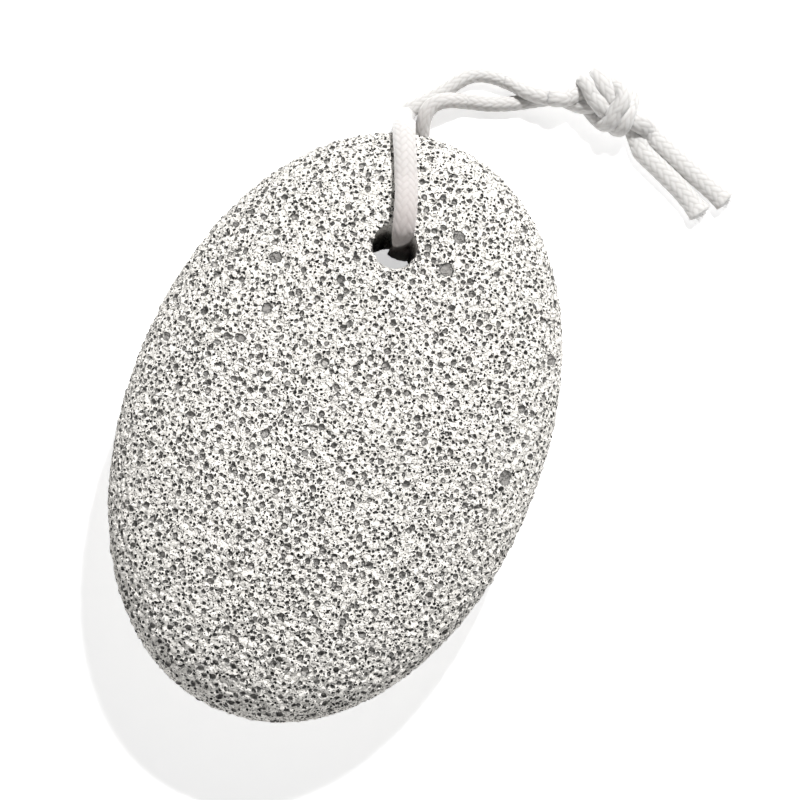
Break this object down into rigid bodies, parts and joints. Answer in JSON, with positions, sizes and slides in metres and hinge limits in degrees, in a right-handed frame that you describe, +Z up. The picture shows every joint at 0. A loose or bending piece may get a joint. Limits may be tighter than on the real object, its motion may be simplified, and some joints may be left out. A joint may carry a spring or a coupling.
{
  "type": "pumice stone",
  "caption": "Oval pillow-shaped pumice foot stone with open pores, a drilled hole near one end, and a knotted hanging cord threaded through it.",
  "frame": {"origin": "on the surface the stone rests on, under the middle of the stone", "axes": "+Y along the stone's long axis towards the drilled hole, +X across it, +Z up from the back the stone lies on"},
  "size_m": [0.0729, 0.1119, 0.0279],
  "materials": {
    "pumice": "dry porous rock with crisp pore rims, very matt",
    "cord": "white braided cord with a faint sheen"
  },
  "bodies": {
    "root": {"pumice_stone": "pumice", "cord_front_strand": "cord", "cord_back_strand": "cord", "cord_knot": "cord", "cord_upper_tail": "cord", "cord_lower_tail": "cord"}
  },
  "joints": []
}
